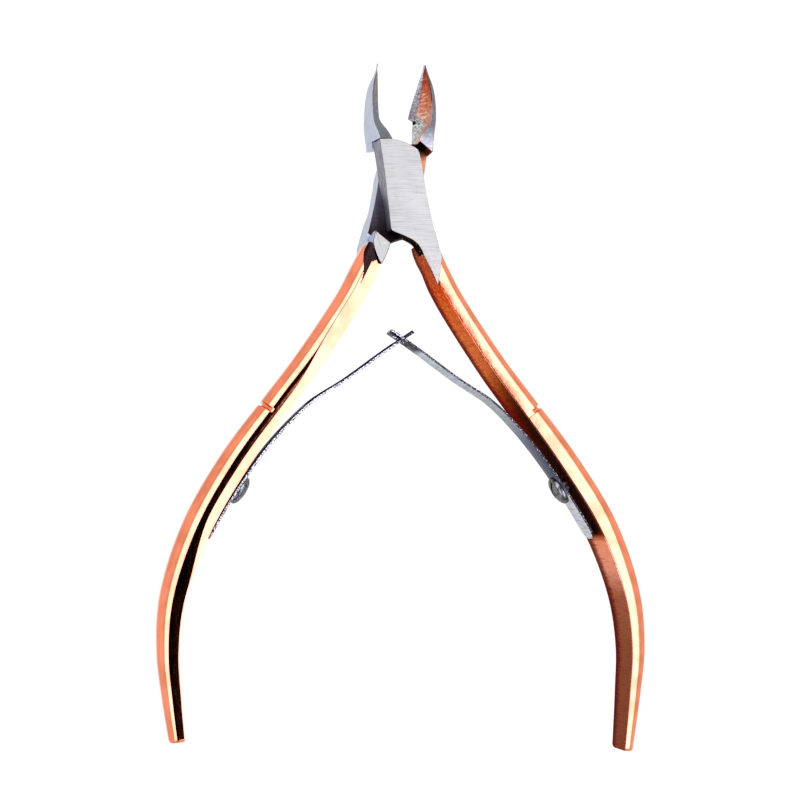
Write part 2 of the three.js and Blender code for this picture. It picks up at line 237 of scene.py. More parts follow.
class Metal:
    """A metal shader whose colour, roughness and bump come from nodes in the piece's rest frame, in mm.

    edge tints its glancing reflections."""

    def __init__(self, name, edge, coat=0.0):
        self.material = bpy.data.materials.new(name)
        self.material.use_nodes = True
        self.tree = self.material.node_tree
        self.tree.nodes.clear()
        out = self.tree.nodes.new("ShaderNodeOutputMaterial")
        self.shader = self.tree.nodes.new("ShaderNodeBsdfPrincipled")
        self.shader.inputs["Metallic"].default_value = 1.0
        self.shader.inputs["Coat Weight"].default_value = coat
        self.shader.inputs["Coat Roughness"].default_value = 0.06
        self.shader.inputs["Coat IOR"].default_value = 1.5
        self.shader.inputs["Specular Tint"].default_value = (*edge, 1)
        self.link(self.shader.outputs[0], out.inputs[0])
        rest = self.tree.nodes.new("ShaderNodeTexCoord").outputs["Object"]
        self.place = self.vector("SCALE", rest, scale=UNIT)
        split = self.tree.nodes.new("ShaderNodeSeparateXYZ")
        self.link(self.place, split.inputs[0])
        self.x, self.y, self.z = split.outputs

    def link(self, a, b):
        self.tree.links.new(a, b)

    def put(self, socket, value):
        if isinstance(value, bpy.types.NodeSocket):
            self.link(value, socket)
        elif isinstance(value, tuple) and len(value) == 3 and socket.type == "RGBA":
            socket.default_value = (*value, 1)
        else:
            socket.default_value = value

    def vector(self, operation, a, b=None, scale=None):
        node = self.tree.nodes.new("ShaderNodeVectorMath")
        node.operation = operation
        self.put(node.inputs[0], a)
        if b is not None:
            self.put(node.inputs[1], b)
        if scale is not None:
            node.inputs["Scale"].default_value = scale
        return node.outputs[0]

    def math(self, operation, a, b=0.0, clamp=False):
        node = self.tree.nodes.new("ShaderNodeMath")
        node.operation = operation
        node.use_clamp = clamp
        self.put(node.inputs[0], a)
        self.put(node.inputs[1], b)
        return node.outputs[0]

    def spread(self, value, low, high, to_low=0.0, to_high=1.0):
        """Maps low..high smoothly onto to_low..to_high."""
        node = self.tree.nodes.new("ShaderNodeMapRange")
        node.interpolation_type = "SMOOTHSTEP"
        for key, item in (("Value", value), ("From Min", low), ("From Max", high),
                          ("To Min", to_low), ("To Max", to_high)):
            self.put(node.inputs[key], item)
        return node.outputs[0]

    def noise(self, per_mm, detail=3.0, roughness=0.55, distortion=0.0):
        """Noise whose grain is stretched: per_mm is cycles per millimetre on x, y and z."""
        node = self.tree.nodes.new("ShaderNodeTexNoise")
        node.inputs["Scale"].default_value = 1.0
        node.inputs["Detail"].default_value = detail
        node.inputs["Roughness"].default_value = roughness
        node.inputs["Distortion"].default_value = distortion
        self.link(self.vector("MULTIPLY", self.place, per_mm), node.inputs["Vector"])
        return node.outputs[0]

    def ramp(self, value, stops):
        """Colour by value: stops are (position, colour) over 0..1."""
        node = self.tree.nodes.new("ShaderNodeValToRGB")
        elements = node.color_ramp.elements
        while len(elements) < len(stops):
            elements.new(0.5)
        for element, (position, colour) in zip(elements, stops):
            element.position = position
            element.color = (*colour, 1)
        self.put(node.inputs[0], value)
        return node.outputs[0]

    def mix(self, factor, a, b):
        node = self.tree.nodes.new("ShaderNodeMix")
        node.data_type = "RGBA"
        colours = [s for s in node.inputs if s.type == "RGBA"]
        self.put(node.inputs[0], factor)
        self.put(colours[0], a)
        self.put(colours[1], b)
        return [s for s in node.outputs if s.type == "RGBA"][0]

    def finish(self, colour, roughness, bumps=()):
        """Colour and roughness sockets, and (height socket, depth in mm) pairs for the bump."""
        self.put(self.shader.inputs["Base Color"], colour)
        self.put(self.shader.inputs["Roughness"], roughness)
        normal = None
        for height, depth in bumps:
            node = self.tree.nodes.new("ShaderNodeBump")
            node.inputs["Strength"].default_value = 1.0
            node.inputs["Distance"].default_value = depth * MM
            self.link(height, node.inputs["Height"])
            if normal:
                self.link(normal, node.inputs["Normal"])
            normal = node.outputs[0]
        if normal:
            self.link(normal, self.shader.inputs["Normal"])
        return self.material


def along_y(metal, low, high):
    """0 at y = low and below, 1 at y = high and above, in millimetres."""
    node = metal.tree.nodes.new("ShaderNodeMapRange")
    metal.put(node.inputs["Value"], metal.y)
    node.inputs["From Min"].default_value = low
    node.inputs["From Max"].default_value = high
    return node.outputs[0]


COPPER = (0.92, 0.262, 0.128)
COPPER_DEEP = (0.70, 0.19, 0.08)


def plated_outer():
    m = Metal("rose_gold_polished", coat=0.5, edge=(0.85, 0.42, 0.27))
    cloud = m.noise((0.25, 0.25, 0.25), 2)
    pits = m.noise((2.2, 1.6, 2.2), 2)
    colour = m.mix(m.spread(cloud, 0.35, 0.7), COPPER, COPPER_DEEP)
    colour = m.mix(m.spread(pits, 0.7, 0.78, 0, 0.5), colour, (0.25, 0.07, 0.04))
    roughness = m.spread(m.noise((1.5, 0.4, 1.5), 3), 0.3, 0.7, 0.05, 0.1)
    return m.finish(colour, roughness, [(cloud, 0.02), (pits, 0.003)])


def plated_inner():
    """Inner side of a handle: thin plating over coarse cross-grinding, with painted light along it: a
    painted shadow and reflection of the leaf, a painted highlight below the leaf's foot, and a painted
    reflection of copper, deeper red near the joint.
    """
    m = Metal("rose_gold_brushed", edge=(0.6, 0.3, 0.22))
    grain = m.noise((1.0, 5.0, 0.35), 4, 0.65, 0.6)
    patch = m.noise((0.5, 0.35, 0.6), 3)
    # Painted light along the handle: a painted highlight at y -58 to -54, a painted shadow and dark
    # reflection of the leaf from -52 to -35, and above that a painted copper reflection, deeper red towards
    # the joint.
    tone = m.ramp(along_y(m, -86, -8), [
        (0.0, (0.22, 0.10, 0.075)), (0.2, (0.26, 0.12, 0.085)), (0.31, (0.38, 0.17, 0.12)),
        (0.36, (0.86, 0.42, 0.30)), (0.415, (0.95, 0.42, 0.26)), (0.43, (0.14, 0.04, 0.025)),
        (0.66, (0.12, 0.035, 0.02)), (0.71, (0.38, 0.11, 0.06)), (0.76, (0.74, 0.25, 0.13)),
        (0.84, (0.78, 0.22, 0.10)), (0.91, (0.66, 0.11, 0.035)), (1.0, (0.36, 0.10, 0.07)),
    ])
    specks = m.noise((2.2, 2.2, 2.2), 4, 0.7)
    colour = m.mix(m.spread(grain, 0.42, 0.66, 0, 0.6), tone, m.mix(0.6, tone, (0.05, 0.01, 0.01)))
    near_joint = m.math("MULTIPLY", m.spread(m.y, -33, -27), m.spread(specks, 0.5, 0.62))
    colour = m.mix(m.math("MULTIPLY", near_joint, 0.8), colour, (1.0, 0.36, 0.14))
    # painted shade: darker towards the rear face, broken up by the grain
    behind = m.math("ADD", m.math("SUBTRACT", MID, m.z), m.math("MULTIPLY", grain, 3.0))
    colour = m.mix(m.spread(behind, 2.2, 4.4, 0, 0.85), colour, (0.07, 0.02, 0.03))
    roughness = m.spread(grain, 0.3, 0.7, 0.28, 0.45)
    return m.finish(colour, roughness, [(grain, 0.035), (patch, 0.02)])


def ground_steel(name, per_mm, tone, dark, depth=0.012, rough=(0.3, 0.45)):
    """Bare steel with straight grinding lines."""
    m = Metal(name, edge=(0.85, 0.86, 0.88))
    lines = m.noise(per_mm, 4, 0.7)
    cloud = m.noise((0.4, 0.4, 0.4), 3)
    colour = m.mix(m.spread(lines, 0.35, 0.66), tone, dark)
    colour = m.mix(m.spread(cloud, 0.4, 0.7, 0, 0.4), colour, tone)
    return m.finish(colour, m.spread(lines, 0.3, 0.7, *rough), [(lines, depth)])


def joint_painted_shade():
    """Inside of the lap joint and the recesses given its zone: bare and grey near the jaws, with a copper
    band; painted shade, near black, below and at the top end.
    """
    m = Metal("joint_inside_painted_shade", edge=(0.12, 0.08, 0.07))
    lines = m.noise((0.5, 3.0, 3.0), 4, 0.6)
    # painted shade: the near-black stops at both ends of the ramp
    tone = m.ramp(along_y(m, -9, 9), [
        (0.0, (0.012, 0.006, 0.005)), (0.18, (0.02, 0.012, 0.012)), (0.42, (0.1, 0.09, 0.1)),
        (0.58, (0.3, 0.3, 0.32)), (0.7, (0.55, 0.2, 0.08)), (0.83, (0.55, 0.2, 0.08)),
        (0.88, (0.03, 0.012, 0.01)),
    ])
    colour = m.mix(m.spread(lines, 0.4, 0.7, 0, 0.5), tone, (0.03, 0.02, 0.02))
    return m.finish(colour, m.spread(lines, 0.3, 0.7, 0.3, 0.45), [(lines, 0.015)])


def jaw_hollow():
    m = Metal("jaw_hollow_plated", edge=(0.9, 0.6, 0.5))
    marks = m.noise((1.2, 4.5, 1.0), 3, 0.6, 0.8)
    tone = m.ramp(along_y(m, 9, 19), [
        (0.0, (1.0, 0.68, 0.54)), (0.28, (1.0, 0.72, 0.58)), (0.42, (0.9, 0.4, 0.25)),
        (0.8, (0.55, 0.1, 0.035)), (1.0, (0.3, 0.06, 0.03)),
    ])
    tone = m.mix(m.spread(m.x, -0.5, 0.5), (0.40, 0.36, 0.34), tone)
    colour = m.mix(m.spread(marks, 0.42, 0.6, 0, 0.8), tone, m.mix(0.75, tone, (0.2, 0.02, 0.01)))
    colour = m.mix(m.spread(marks, 0.42, 0.34, 0, 0.8), colour, m.mix(0.5, tone, (1.0, 0.8, 0.6)))
    return m.finish(colour, m.spread(marks, 0.3, 0.7, 0.22, 0.4), [(marks, 0.06)])


def rough_land():
    """The hand-filed strip behind a cutting edge."""
    m = Metal("filed_edge", edge=(0.8, 0.8, 0.8))
    marks = m.noise((2.5, 4.5, 2.5), 4, 0.75, 1.5)
    right = m.mix(m.spread(m.y, 11, 13), (0.9, 0.9, 0.87), (0.42, 0.43, 0.41))
    bare = m.mix(m.spread(m.x, -0.5, 0.5), (0.3, 0.29, 0.28), right)
    colour = m.mix(m.spread(marks, 0.47, 0.56), bare, (0.08, 0.08, 0.08))
    return m.finish(colour, m.spread(marks, 0.3, 0.7, 0.3, 0.5), [(marks, 0.05)])


def ground_bevel():
    """Front of the jaws: dark and fine on the -X jaw, running out to bright steel at the +X root."""
    m = Metal("ground_bevel", edge=(0.8, 0.8, 0.8))
    lines = m.noise((1.0, 3.0, 3.0), 4, 0.7)
    right = m.spread(m.x, -0.5, 0.5)
    bright = m.math("MULTIPLY", right, m.spread(m.y, 10.2, 6.6))
    tone = m.mix(bright, (0.085, 0.09, 0.08), (0.5, 0.5, 0.48))
    colour = m.mix(m.spread(lines, 0.35, 0.68, 0, 0.6), tone, (0.1, 0.1, 0.095))
    return m.finish(colour, m.spread(lines, 0.3, 0.7, 0.25, 0.4), [(lines, 0.012)])


def spring_face():
    m = Metal("spring_rolled", edge=(0.7, 0.72, 0.75))
    marks = m.noise((3.0, 3.0, 0.3), 4, 0.65)
    cloud = m.noise((0.5, 0.5, 0.5), 3)
    # Painted light along the leaf: steel grey, with a painted dark reflection between the screw and the
    # bend, and painted shade at the tip end by the crossing.
    tone = m.ramp(along_y(m, -53, -21), [
        (0.0, (0.6, 0.62, 0.62)), (0.2, (0.55, 0.57, 0.57)), (0.26, (0.05, 0.05, 0.07)),
        (0.45, (0.10, 0.10, 0.14)), (0.6, (0.36, 0.38, 0.39)), (0.88, (0.58, 0.61, 0.61)),
        (0.9, (0.03, 0.03, 0.03)),
    ])
    colour = m.mix(m.spread(marks, 0.42, 0.68, 0, 0.5), tone, (0.1, 0.1, 0.11))
    roughness = m.spread(cloud, 0.3, 0.7, 0.25, 0.4)
    return m.finish(colour, roughness, [(marks, 0.012)])


def spring_edge():
    """Sheared edge of the strip: dark, torn, with bright specks."""
    m = Metal("spring_sheared", edge=(0.8, 0.8, 0.8))
    torn = m.noise((5.0, 5.0, 5.0), 4, 0.7)
    bright = m.math("ADD", torn, m.spread(m.x, 1.0, -1.0, -0.06, 0.05))
    colour = m.mix(m.spread(bright, 0.5, 0.6), (0.03, 0.03, 0.032), (0.7, 0.71, 0.7))
    return m.finish(colour, m.spread(torn, 0.3, 0.7, 0.35, 0.55), [(torn, 0.02)])


def spring_back():
    """The side of a leaf that faces its handle, still dark from hardening."""
    m = Metal("spring_hardened", edge=(0.2, 0.2, 0.22))
    marks = m.noise((2.0, 2.0, 0.4), 4, 0.65)
    colour = m.mix(m.spread(marks, 0.35, 0.7), (0.035, 0.035, 0.04), (0.1, 0.1, 0.105))
    return m.finish(colour, m.spread(marks, 0.3, 0.7, 0.25, 0.45), [(marks, 0.01)])


def turned_nickel():
    m = Metal("screw_turned", edge=(0.6, 0.6, 0.62))
    cloud = m.noise((1.5, 1.5, 1.5), 4, 0.6)
    colour = m.mix(m.spread(cloud, 0.35, 0.7), (0.22, 0.22, 0.21), (0.05, 0.05, 0.05))
    return m.finish(colour, m.spread(cloud, 0.3, 0.7, 0.15, 0.32), [(cloud, 0.02)])


STEEL = (0.42, 0.41, 0.325)
STEEL_DARK = (0.28, 0.285, 0.23)
# The 'floor' zone is painted shade: the joint's near-black inside, also given to step walls, a scallop, a
# nick and a line under a lip.
ZONES = ["outer", "inner", "ground", "side", "floor", "hollow", "land", "bevel", "wall"]
FORGING_MATERIALS = [
    plated_outer(), plated_inner(),
    ground_steel("ground_face", (0.25, 8.0, 8.0), STEEL, STEEL_DARK, 0.008),
    ground_steel("ground_side", (0.6, 0.6, 3.5), (0.52, 0.56, 0.62), (0.36, 0.4, 0.46)),
    joint_painted_shade(), jaw_hollow(), rough_land(), ground_bevel(),
    # painted shade: a darker copy of the ground steel for the lap's step walls
    ground_steel("lap_wall_painted_shade", (0.6, 0.6, 3.5), (0.27, 0.27, 0.29), (0.1, 0.1, 0.11)),
]
ZONE = {name: i for i, name in enumerate(ZONES)}

# ---------------------------------------------------------------- mesh helpers


def solid(name, rings, zone, caps, materials):
    """Skins closed rings of points in mm. zone(ring, segment) and caps give material numbers."""
    rings = np.array(rings, float)
    count, size = rings.shape[:2]
    faces, zones = [], []
    for r in range(count - 1):
        for k in range(size):
            a, b = r * size + k, r * size + (k + 1) % size
            faces.append((a, b, b + size, a + size))
            zones.append(zone(r, k))
    faces.append(tuple(range(size))[::-1])
    faces.append(tuple(range((count - 1) * size, count * size)))
    zones += caps
    mesh = bpy.data.meshes.new(name)
    mesh.from_pydata((rings.reshape(-1, 3) * MM).tolist(), [], faces)
    for material in materials:
        mesh.materials.append(material)
    mesh.polygons.foreach_set("material_index", zones)
    made = bmesh.new()
    made.from_mesh(mesh)
    bmesh.ops.recalc_face_normals(made, faces=made.faces[:])
    made.to_mesh(mesh)
    made.free()
    return bpy.data.objects.new(name, mesh)


SMOOTH_ANGLE = 28                  # degrees; edges sharper than this are drawn sharp
WELD = 0.004                       # points nearer than this are one
SLIVER = 0.002                     # and edges shorter than this are removed
FLAT = 0.9999                      # faces this level keep their own normal


def combine(name, base, steps, smooth_angle=SMOOTH_ANGLE):
    """Joins or cuts closed solids and returns one clean closed piece. steps are (operation, solid)."""
    bpy.context.scene.collection.objects.link(base)
    for operation, other in steps:
        bpy.context.scene.collection.objects.link(other)
        modifier = base.modifiers.new(operation, "BOOLEAN")
        modifier.operation = operation
        modifier.solver = "MANIFOLD"
        modifier.object = other
    graph = bpy.context.evaluated_depsgraph_get()
    mesh = bpy.data.meshes.new_from_object(base.evaluated_get(graph))
    mesh.name = name
    for item in [base] + [other for _, other in steps]:
        bpy.data.objects.remove(item)
    made = bmesh.new()
    made.from_mesh(mesh)
    bmesh.ops.remove_doubles(made, verts=made.verts[:], dist=WELD * MM)
    bmesh.ops.dissolve_degenerate(made, edges=made.edges[:], dist=SLIVER * MM)
    made.to_mesh(mesh)
    made.free()
    return place(name, mesh, smooth_angle)


def place(name, mesh, smooth_angle):
    """Links a finished mesh, smooth but for its ground faces and sharp edges."""
    mesh.shade_smooth()
    for polygon in mesh.polygons:
        polygon.use_smooth = abs(polygon.normal.z) < FLAT
    mesh.set_sharp_from_angle(angle=math.radians(smooth_angle))
    piece = bpy.data.objects.new(name, mesh)
    bpy.context.scene.collection.objects.link(piece)
    return piece


def to_side(rings, side):
    """Mirrors +X rings to the given side."""
    return np.array(rings, float) * (side, 1, 1)


def turned_over(rings):
    """Half a turn about the middle line of the joint: +X goes to -X and front to rear."""
    return np.array(rings, float) * (-1, 1, -1) + (0, 0, DEPTH)


def slab_rings(outline, z0, z1, ease_low=0.0, ease_high=0.0):
    """A plan outline from z0 to z1, with small chamfers on its two flat faces."""
    points = rounded(outline)
    levels = [(z0, ease_low), (z0 + ease_low, 0), (z1 - ease_high, 0), (z1, ease_high)]
    rings = []
    for z, ease in levels:
        shape = inset(points, ease) if ease else points
        if rings and abs(z - rings[-1][0, 2]) < 1e-9:
            continue
        rings.append(np.column_stack([shape, np.full(len(shape), z)]))
    return rings


# ---------------------------------------------------------------- forged halves

INNER_POINTS = 7                   # of a handle's section, on its flat inner side
CHAMFER_POINTS = 16
OUTER_POINTS = 56
CREST_START = -0.2                 # where its outer side starts to round, in thicknesses from the middle
CREST_SHIFT = 0.24                 # a ridge moves that outwards by this
CREST_TURN = 20                    # and the rounding starts there turned by this, in degrees
CREST_WIDTH = 0.02                 # flat left between a full chamfer and the rounding
CHAMFER_REACH = 0.25               # added to that flat where there is no chamfer
JOINT_SINK = 0.1                   # the handle loses this much depth, to stay under the ground faces
HANDLE_RINGS = 170
GROOVE_RINGS = 29                  # extra rings across the grip groove
GROOVE_SPAN = 0.007                # and how far along the path they reach to each side
SCALLOP_TOP_Y = -8.5               # painted shade, a dark scallop, at the rear half's shoulder
SCALLOP_END_Y = -15
SCALLOP_RINGS = 50
END_STEPS = 5                      # rings that round a handle's end
END_REACH = 0.6                    # length of the rounded end
END_SHRINK = (0.3, 0.3, 0.32)


def handle_section(chamfer, ridge, crown, fullness, slope):
    """D section as (across, along): flat inner side, chamfers of the given slope, rounded outer side.

    chamfer and ridge go from 0 to 1. A ridge draws the chamfer past the middle, leaving a narrow crest.
    crown is how far the flat top reaches outwards."""
    start = CREST_START + CREST_SHIFT * ridge + crown
    crest = CREST_START + CREST_SHIFT * ridge - CREST_WIDTH - CHAMFER_REACH * (1 - chamfer)
    corner = [(across, 0.5 - slope * (crest - across))
              for across in np.linspace(-0.5, crest, CHAMFER_POINTS)]
    corner.append((crest + 0.1 * (start - crest), 0.5))    # keeps the shading of the flat even
    section = [(-0.5, along) for along in np.linspace(-corner[0][1], corner[0][1], INNER_POINTS)]
    section += corner[1:]
    first = math.radians(90 - CREST_TURN * ridge)
    top, side = math.sin(first) ** fullness, max(0.0, math.cos(first)) ** fullness
    for i in range(OUTER_POINTS + 1):
        angle = first * (1 - 2 * i / OUTER_POINTS)
        across = (max(0.0, math.cos(angle)) ** fullness - side) / (1 - side)
        along = math.copysign(abs(math.sin(angle)) ** fullness, math.sin(angle)) / top
        section.append((start + (0.5 - start) * across, 0.5 * along))
    return section + [(x, -y) for x, y in corner[:0:-1]]


def handle_path(side_name):
    """Rows of the handle's path with that half's own shift and thickness."""
    rows = np.array(HANDLE)
    rows[:, 0] += FRONT_SHIFT if side_name == "front" else REAR_SHIFT
    if side_name == "rear":
        rows[:, 2] += REAR_THICKER
    return rows


def groove_depth(distance):
    """Depth of the round-bottomed grip groove at a distance along the handle."""
    return GROOVE_DEPTH * math.sqrt(max(0.0, 1 - (distance / GROOVE_HALF_WIDTH)**2))


def handle_rings(side_name):
    """Rings of the +X handle, and the sections they were made with."""
    path = handle_path(side_name)
    end_t = solve(path, 1, FRONT_END_Y if side_name == "front" else REAR_END_Y)
    groove_t = solve(path, 1, GROOVE_Y)
    groove = np.linspace(-GROOVE_SPAN, GROOVE_SPAN, GROOVE_RINGS) + groove_t
    scallop = np.linspace(solve(path, 1, SCALLOP_TOP_Y), solve(path, 1, SCALLOP_END_Y), SCALLOP_RINGS)
    steps = np.sort(np.concatenate([np.linspace(0, end_t, HANDLE_RINGS), groove, scallop]))
    groove_at = spline(path, groove_t)[:2]
    rings, sections = [], []
    for t in steps:
        (x, y, thickness, depth), outward = station(path, t)
        # The front half has a plain flat top, wider near the joint. The rear one's chamfer grows from
        # its end, and becomes a ridge at the neck.
        if side_name == "front":
            chamfer, ridge, crown = 0.0, 0.0, 0.04 + 0.11 * smoothstep(-58, -46, y)
        else:
            chamfer, ridge, crown = smoothstep(-60, -48, y), smoothstep(-31, -19, y), 0.0
        depth -= JOINT_SINK * smoothstep(-17, -13, y)
        fullness = 0.8 - 0.28 * smoothstep(-12, -9, y)    # squarer at the neck
        lean = DRAFT * smoothstep(-9, -14, y)
        slope = math.tan(CHAMFER_ANGLE) * thickness / depth
        section = handle_section(chamfer, ridge, crown, fullness, slope)
        notch = groove_depth(np.linalg.norm((x, y) - groove_at))
        ring = []
        for across, along in section:
            shift = across * thickness + math.tan(lean) * along * depth * max(0.0, -0.1 - across) / 0.4
            shift -= notch * smoothstep(-0.1, 0.25, across)
            sink = smoothstep(-0.1, 0.2, across) * (1 - smoothstep(0.25, 0.45, across)) * 0.7
            z = MID + along * depth - math.copysign(notch, along) * sink
            ring.append((x + shift * outward[0], y + shift * outward[1], z))
        rings.append(ring)
        sections.append(section)
    last, before = np.array(rings[-1]), np.array(rings[-4])
    forward = (last - before).mean(0)
    forward /= np.linalg.norm(forward)
    centre = last.mean(0)
    for k in range(1, END_STEPS + 1):
        angle = k / END_STEPS * math.pi / 2
        shrink = 1 - np.array(END_SHRINK) * (1 - math.cos(angle))
        rings.append((last - centre) * shrink + centre + forward * END_REACH * math.sin(angle))
        sections.append(sections[-1])
    return np.array(rings), sections


def handle(side_name):
    """One handle. The rear one has a scallop of painted shade and a bare wall where it meets the joint."""
    rings, sections = handle_rings(side_name)
    if side_name == "rear":
        rings = turned_over(rings)

    def zone(ring, segment):
        if segment < INNER_POINTS - 1 + (CHAMFER_POINTS - 1) * (side_name == "front"):
            return ZONE["inner"]
        y = rings[ring][0][1]
        if side_name == "front" or y < SCALLOP_END_Y:
            return ZONE["outer"]
        across, along = sections[ring][segment]
        # The scallop of painted shade starts at the shoulder's full width and narrows to a point.
        low = -0.5 + 0.4 * smoothstep(-10.0, -11.8, y)
        high = 0.4 - 0.46 * smoothstep(-10, -14.8, y)
        if along < -0.3 and low < across < high:
            return ZONE["floor"]
        if y > -9.6 - 0.9 * (along + 0.5) and across > high:
            return ZONE["side"]
        return ZONE["outer"]

    return solid("handle", rings, zone, [ZONE["floor"], ZONE["outer"]], FORGING_MATERIALS)


def rear_lean(ring):
    """How much further out the rear lap's outer wall is at the rear face, for each point of a ring."""
    everywhere, below = REAR_LEAN
    amount = everywhere + below * smoothsteps(-2, -5.6, ring[:, 1])
    return amount * (ring[:, 0] > 2.6) * smoothsteps(-10.6, -8.5, ring[:, 1])


def lap(side_name):
    """The half of the joint that has the ground face, drawn as the front one."""
    floor = MID + LAP_GAP / 2
    outline = LAP if side_name == "front" else [
        (x + REAR_WALL * (x > 0 and y < 5), y, reach) for x, y, reach in LAP]
    rings = slab_rings(outline, floor, DEPTH, 0.0, LAP_EASE)
    low = rings[0]
    low[:, 0] -= WALL_LEAN * (low[:, 0] < -1.5) * smoothsteps(-3, 2, low[:, 1])
    if side_name == "rear":
        for ring in rings[1:]:
            ring[:, 0] += rear_lean(ring)
        rings = turned_over(rings)

    def zone(ring, segment):
        corner = segment / ROUNDING
        for (first, last), name in LAP_WALLS.items():
            if first < corner < last:
                return ZONE[name]
        return ZONE["wall"]

    return solid("lap", rings, zone, [ZONE["floor"], ZONE["ground"]], FORGING_MATERIALS)


def neck(side_name):
    """The shoulder between handle and lap, at full depth. The rear one has a ledge in its outer wall."""
    outline = NECK_FRONT if side_name == "front" else NECK_REAR
    rings = slab_rings(outline, 0.0, DEPTH - UNDERLAP, SHOULDER_EASE, 0.0)
    if side_name == "rear":
        flush, pushed = rings[1].copy(), rings[1].copy()
        flush[:, 2] = pushed[:, 2] = MID - LAP_GAP / 2
        rings = rings[:2] + [flush, pushed] + rings[2:]
        outside = (pushed[:, 0] > 3.8) * smoothsteps(-10.3, -8.6, pushed[:, 1])
        pushed[:, 0] += REAR_WALL * outside
        rings[-1][:, 0] += REAR_WALL * outside + rear_lean(rings[-1])
        rings = turned_over(rings)

    def zone(ring, segment):
        outer_wall = NECK_WALL[0] < segment / ROUNDING < NECK_WALL[1]
        if side_name == "rear":
            # painted shade on the rear neck's walls, but for its outer wall past the first ring
            return ZONE["side"] if outer_wall and ring > 0 else ZONE["floor"]
        return ZONE["side"] if outer_wall else ZONE["inner"]

    return solid("neck", rings, zone, [ZONE["ground"], ZONE["ground"]], FORGING_MATERIALS)


def jaw_root(side):
    """The block that carries a jaw past the other half's lap."""
    outline = ROOT_REAR if side > 0 else ROOT_FRONT
    rings = np.array(slab_rings(outline, MID - LAP_GAP, DEPTH, 0.0, SHOULDER_EASE))
    if side < 0:
        rings[:, :, 0] += (JAW_FLARE - 0.1) * (rings[:, :, 0] > 4.2) * rings[:, :, 2] / DEPTH
        rings = turned_over(rings)

    def zone(ring, segment):
        x, y, _ = rings[0][segment]
        if abs(x) > 4.2 or side < 0:
            return ZONE["side"]
        # walls below y 7.6 get painted shade
        return ZONE["floor"] if y < 7.6 else ZONE["hollow"]

    caps = [ZONE["floor"], ZONE["bevel"]] if side > 0 else [ZONE["side"], ZONE["side"]]
    return solid("root", rings, zone, caps, FORGING_MATERIALS)


RIVET_SEGMENTS = 64
JAW_RINGS = 90
HOLLOW_SEGMENTS = 16               # from the cutting edge to the front lip
LAND_SEGMENTS = 4                  # of those, the filed strip behind the edge
LIP_SEGMENTS = 7                   # of those, the plated band below the heel
NICK_SHADOW_Y = (11.25, 11.75)           # painted shadow of a small nick at the heel of the +X jaw; no nick is cut
NICK_SHADOW_SEGMENTS = 2
LIP_SHADE_Y = 14                   # above this the +X hollow has a line of painted shade under its lip


def jaw(side):
    """A hollow-ground jaw, from its root to its tip. The two are ground a little differently."""
    slope = math.tan(math.radians(OPEN_ANGLE / 2))
    rings, heights = [], np.linspace(JAW[0][0], JAW[-1][0], JAW_RINGS)
    for y in heights:
        _, cut_z, outer_z, front_z, outer_x, lip_x = spline(JAW, solve(JAW, 0, y))
        heel = smoothstep(HEEL_Y - 0.35, HEEL_Y + 0.1, y)    # 0 in the throat, 1 along the edge
        if side < 0:
            lip_x += 0.1 - 0.5 * smoothstep(13.2, 9.5, y)    # a more open hollow
        sideways = EDGE_SHIFT * (1 - 0.75 * smoothstep(HEEL_Y, JAW[-1][0], y))
        throat_x = min(THROAT_X, lip_x) if side > 0 else lip_x - 0.3
        cut_x = (1 - heel) * throat_x + heel * (slope * y + EDGE_CLEARANCE - side * sideways)
        depth, across = front_z - cut_z, lip_x - cut_x
        ring = []
        for k in range(HOLLOW_SEGMENTS + 1):
            u, v = spline(HOLLOW, k / HOLLOW_SEGMENTS)
            ring.append((cut_x + u * across, y, cut_z + v * depth))
        ease = 0.06 * smoothstep(20.2, 18, y)
        lip = min(0.25, (outer_x - lip_x) / 2)
        tuck = WALL_LEAN * smoothstep(10.5, 8, y) if side < 0 else 0.0    # meets the lap's wall
        front_x = max(lip_x + 0.1, outer_x - tuck)
        ring += [(lip_x + lip * 0.2, y, front_z), (front_x - ease, y, front_z),
                 (front_x, y, front_z - ease)]
        flare = JAW_FLARE * smoothstep(20, 15.5, y)
        rear_x = outer_x - 0.1 + flare
        ring += [(outer_x + 0.5 * flare, y, (outer_z + front_z) / 2), (rear_x, y, outer_z + ease)]
        ring += [(rear_x - 2 * ease, y, outer_z), ((cut_x + rear_x) / 2, y, (cut_z + outer_z) / 2)]
        rings.append(ring)

    def zone(ring, segment):
        y = heights[ring]
        bare_below_heel = HOLLOW_SEGMENTS - LAND_SEGMENTS - LIP_SEGMENTS
        plated_from = LAND_SEGMENTS + bare_below_heel * smoothstep(12.2, 10.6, y)
        # painted shadow of the heel's nick, and a line of painted shade under the lip
        if side > 0 and NICK_SHADOW_Y[0] < y < NICK_SHADOW_Y[1] and segment < NICK_SHADOW_SEGMENTS:
            return ZONE["floor"]
        if side > 0 and y > LIP_SHADE_Y and segment == HOLLOW_SEGMENTS - 1:
            return ZONE["floor"]
        if segment < HOLLOW_SEGMENTS:
            return ZONE["hollow"] if segment >= plated_from else ZONE["land"]
        if segment < HOLLOW_SEGMENTS + 2:
            return ZONE["bevel"]
        return ZONE["side"]

    caps = [ZONE["floor"] if side > 0 else ZONE["side"], ZONE["bevel"]]
    return solid("jaw", to_side(rings, side), zone, caps, FORGING_MATERIALS)


def rivet_hole():
    """The bar that is cut out of both halves."""
    angles = np.arange(RIVET_SEGMENTS) / RIVET_SEGMENTS * 2 * math.pi
    radius = RIVET_RADIUS + RIVET_SEAM
    circle = np.column_stack([radius * np.cos(angles), radius * np.sin(angles)])
    rings = [np.column_stack([circle, np.full(RIVET_SEGMENTS, z)]) for z in (-1, DEPTH + 1)]
    side = ZONE["side"]
    return solid("hole", rings, lambda ring, segment: side, [side, side], FORGING_MATERIALS)


